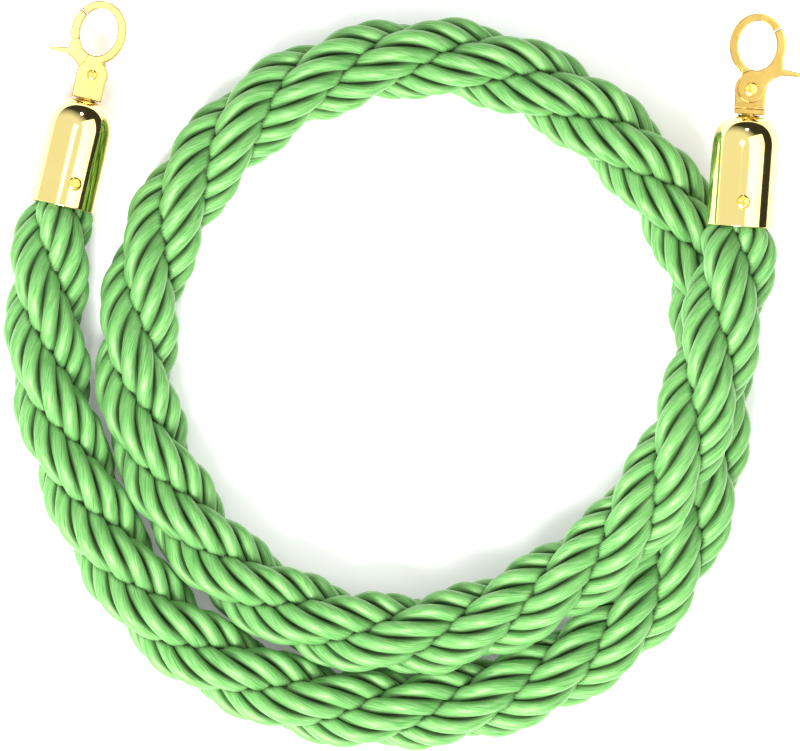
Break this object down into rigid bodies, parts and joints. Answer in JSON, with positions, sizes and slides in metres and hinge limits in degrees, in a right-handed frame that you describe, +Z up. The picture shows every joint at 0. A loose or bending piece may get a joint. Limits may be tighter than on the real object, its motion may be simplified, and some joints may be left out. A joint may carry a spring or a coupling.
{
  "type": "twisted barrier rope with snap hooks",
  "caption": "Thick twisted satin barrier rope laid in loose loops, with domed metal end caps and swivelling trigger snap hooks.",
  "frame": {"origin": "centre of the whole object's box at floor level", "axes": "+Z up from the floor, +X from the left hook to the right hook, +Y towards the hooks"},
  "size_m": [0.325, 0.309, 0.0653],
  "materials": {
    "satin_rope": "satin yarn",
    "gold_cap": "polished",
    "gold_hook": "polished",
    "gold_hardware": "polished",
    "plain_steel": "plain",
    "binding_tape": "woven tape"
  },
  "bodies": {
    "rope_and_caps": {"rope": "satin_rope", "left_cap": "gold_cap", "left_cap_screw": "gold_hardware", "left_end_binding": "binding_tape", "left_swivel_washer": "plain_steel", "left_thrust_washer": "gold_hardware", "right_cap": "gold_cap", "right_cap_screw": "gold_hardware", "right_end_binding": "binding_tape", "right_swivel_washer": "plain_steel", "right_thrust_washer": "gold_hardware"},
    "left_hook": {"left_swivel_stud": "gold_hardware", "left_hook_body": "gold_hook", "left_gate_rivet": "gold_hardware", "left_gate_spring": "plain_steel"},
    "left_gate": {"left_hook_gate": "gold_hook"},
    "right_hook": {"right_swivel_stud": "gold_hardware", "right_hook_body": "gold_hook", "right_gate_rivet": "gold_hardware", "right_gate_spring": "plain_steel"},
    "right_gate": {"right_hook_gate": "gold_hook"}
  },
  "joints": [
    {"name": "left_swivel", "type": "hinge", "parent": "rope_and_caps", "child": "left_hook", "pos_m": [-0.13014, 0.11289, 0.0152], "axis": [0.2317, 0.9728, 0], "continuous": true},
    {"name": "left_gate_hinge", "type": "hinge", "parent": "left_hook", "child": "left_gate", "pos_m": [-0.12752, 0.12388, 0.0152], "axis": [0, 0, 1], "range_deg": [0, 30], "stiffness_Nm_per_rad": 0.02, "springref_deg": -20.05},
    {"name": "right_swivel", "type": "hinge", "parent": "rope_and_caps", "child": "right_hook", "pos_m": [0.14195, 0.10473, 0.04933], "axis": [0.0697, 0.9962, 0.0523], "continuous": true},
    {"name": "right_gate_hinge", "type": "hinge", "parent": "right_hook", "child": "right_gate", "pos_m": [0.14274, 0.11599, 0.04992], "axis": [0.0037, 0.0522, -0.9986], "range_deg": [0, 30], "stiffness_Nm_per_rad": 0.02, "springref_deg": -20.05}
  ]
}
